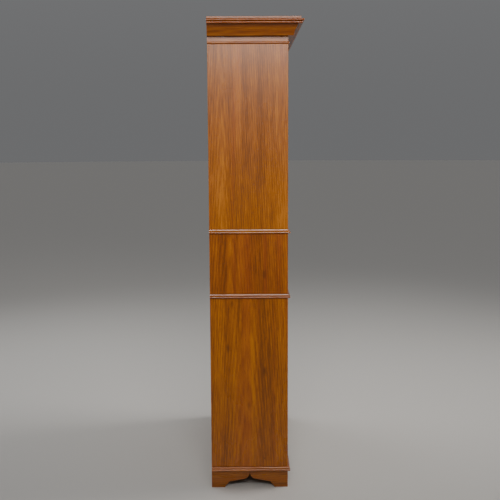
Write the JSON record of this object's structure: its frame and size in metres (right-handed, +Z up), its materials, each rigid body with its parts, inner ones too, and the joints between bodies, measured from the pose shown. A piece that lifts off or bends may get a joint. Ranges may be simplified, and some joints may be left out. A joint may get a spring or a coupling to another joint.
{
  "type": "barrister bookcase",
  "caption": "Tall polished bookcase of stacked cases on a bracket plinth, with glazed doors that lift and slide back over the books, and drawers at the waist.",
  "frame": {"origin": "on the floor, under the middle of the whole bookcase's width and depth, cornice included", "axes": "+Z up, the front with the doors faces -Y, +X to the right of someone facing the front"},
  "size_m": [1.02, 0.38, 1.926],
  "materials": {
    "polished_wood": "French polished, satin",
    "moulding_wood": "French polished, satin",
    "inner_wood": "thin matt polish",
    "brass": "aged, satin",
    "glass": "clear"
  },
  "bodies": {
    "case": {"plinth_front": "polished_wood", "plinth_sides": "polished_wood", "plinth_back": "inner_wood", "plinth_corner_blocks": "inner_wood", "base_moulding": "moulding_wood", "lower_sides": "polished_wood", "lower_top": "inner_wood", "lower_shelf": "inner_wood", "lower_bottom": "inner_wood", "lower_headers": "polished_wood", "lower_back_boards": "inner_wood", "waist_mouldings": "moulding_wood", "middle_sides": "polished_wood", "middle_top": "inner_wood", "middle_bottom": "inner_wood", "middle_divider": "polished_wood", "middle_back_boards": "inner_wood", "upper_sides": "polished_wood", "upper_top": "inner_wood", "upper_shelf": "inner_wood", "upper_bottom": "inner_wood", "upper_headers": "polished_wood", "upper_back_boards": "inner_wood", "frieze": "polished_wood", "cove_moulding": "moulding_wood", "cornice_moulding": "moulding_wood", "cornice_top": "inner_wood", "locating_dowels": "inner_wood"},
    "door1_carriage": {"door1_carriage": "brass"},
    "door1": {"door1_stiles": "polished_wood", "door1_rails": "polished_wood", "door1_glass": "glass", "door1_beads": "polished_wood", "door1_knobs": "brass"},
    "door2_carriage": {"door2_carriage": "brass"},
    "door2": {"door2_stiles": "polished_wood", "door2_rails": "polished_wood", "door2_glass": "glass", "door2_beads": "polished_wood", "door2_knobs": "brass"},
    "door3_carriage": {"door3_carriage": "brass"},
    "door3": {"door3_stiles": "polished_wood", "door3_rails": "polished_wood", "door3_glass": "glass", "door3_beads": "polished_wood", "door3_knobs": "brass"},
    "door4_carriage": {"door4_carriage": "brass"},
    "door4": {"door4_stiles": "polished_wood", "door4_rails": "polished_wood", "door4_glass": "glass", "door4_beads": "polished_wood", "door4_knobs": "brass"},
    "left_drawer": {"left_drawer_front": "polished_wood", "left_drawer_box": "inner_wood", "left_drawer_bottom": "inner_wood", "left_drawer_knobs": "brass"},
    "right_drawer": {"right_drawer_front": "polished_wood", "right_drawer_box": "inner_wood", "right_drawer_bottom": "inner_wood", "right_drawer_knobs": "brass"}
  },
  "joints": [
    {"name": "door1_slide", "type": "slide", "parent": "case", "child": "door1_carriage", "axis": [0, 1, 0], "range_m": [0, 0.236]},
    {"name": "door1_lift", "type": "hinge", "parent": "door1_carriage", "child": "door1", "pos_m": [0, -0.107, 0.405], "axis": [-1, 0, 0], "range_deg": [0, 90]},
    {"name": "door2_slide", "type": "slide", "parent": "case", "child": "door2_carriage", "axis": [0, 1, 0], "range_m": [0, 0.236]},
    {"name": "door2_lift", "type": "hinge", "parent": "door2_carriage", "child": "door2", "pos_m": [0, -0.107, 0.756], "axis": [-1, 0, 0], "range_deg": [0, 90]},
    {"name": "door3_slide", "type": "slide", "parent": "case", "child": "door3_carriage", "axis": [0, 1, 0], "range_m": [0, 0.242]},
    {"name": "door3_lift", "type": "hinge", "parent": "door3_carriage", "child": "door3", "pos_m": [0, -0.107, 1.415], "axis": [-1, 0, 0], "range_deg": [0, 90]},
    {"name": "door4_slide", "type": "slide", "parent": "case", "child": "door4_carriage", "axis": [0, 1, 0], "range_m": [0, 0.242]},
    {"name": "door4_lift", "type": "hinge", "parent": "door4_carriage", "child": "door4", "pos_m": [0, -0.107, 1.772], "axis": [-1, 0, 0], "range_deg": [0, 90]},
    {"name": "left_drawer_slide", "type": "slide", "parent": "case", "child": "left_drawer", "axis": [0, -1, 0], "range_m": [0, 0.22]},
    {"name": "right_drawer_slide", "type": "slide", "parent": "case", "child": "right_drawer", "axis": [0, -1, 0], "range_m": [0, 0.22]}
  ],
  "couplings": [
    {"joint": "door1_slide", "follows": "door1_lift", "m_per_rad": 0.15024},
    {"joint": "door2_slide", "follows": "door2_lift", "m_per_rad": 0.15024},
    {"joint": "door3_slide", "follows": "door3_lift", "m_per_rad": 0.15406},
    {"joint": "door4_slide", "follows": "door4_lift", "m_per_rad": 0.15406}
  ]
}
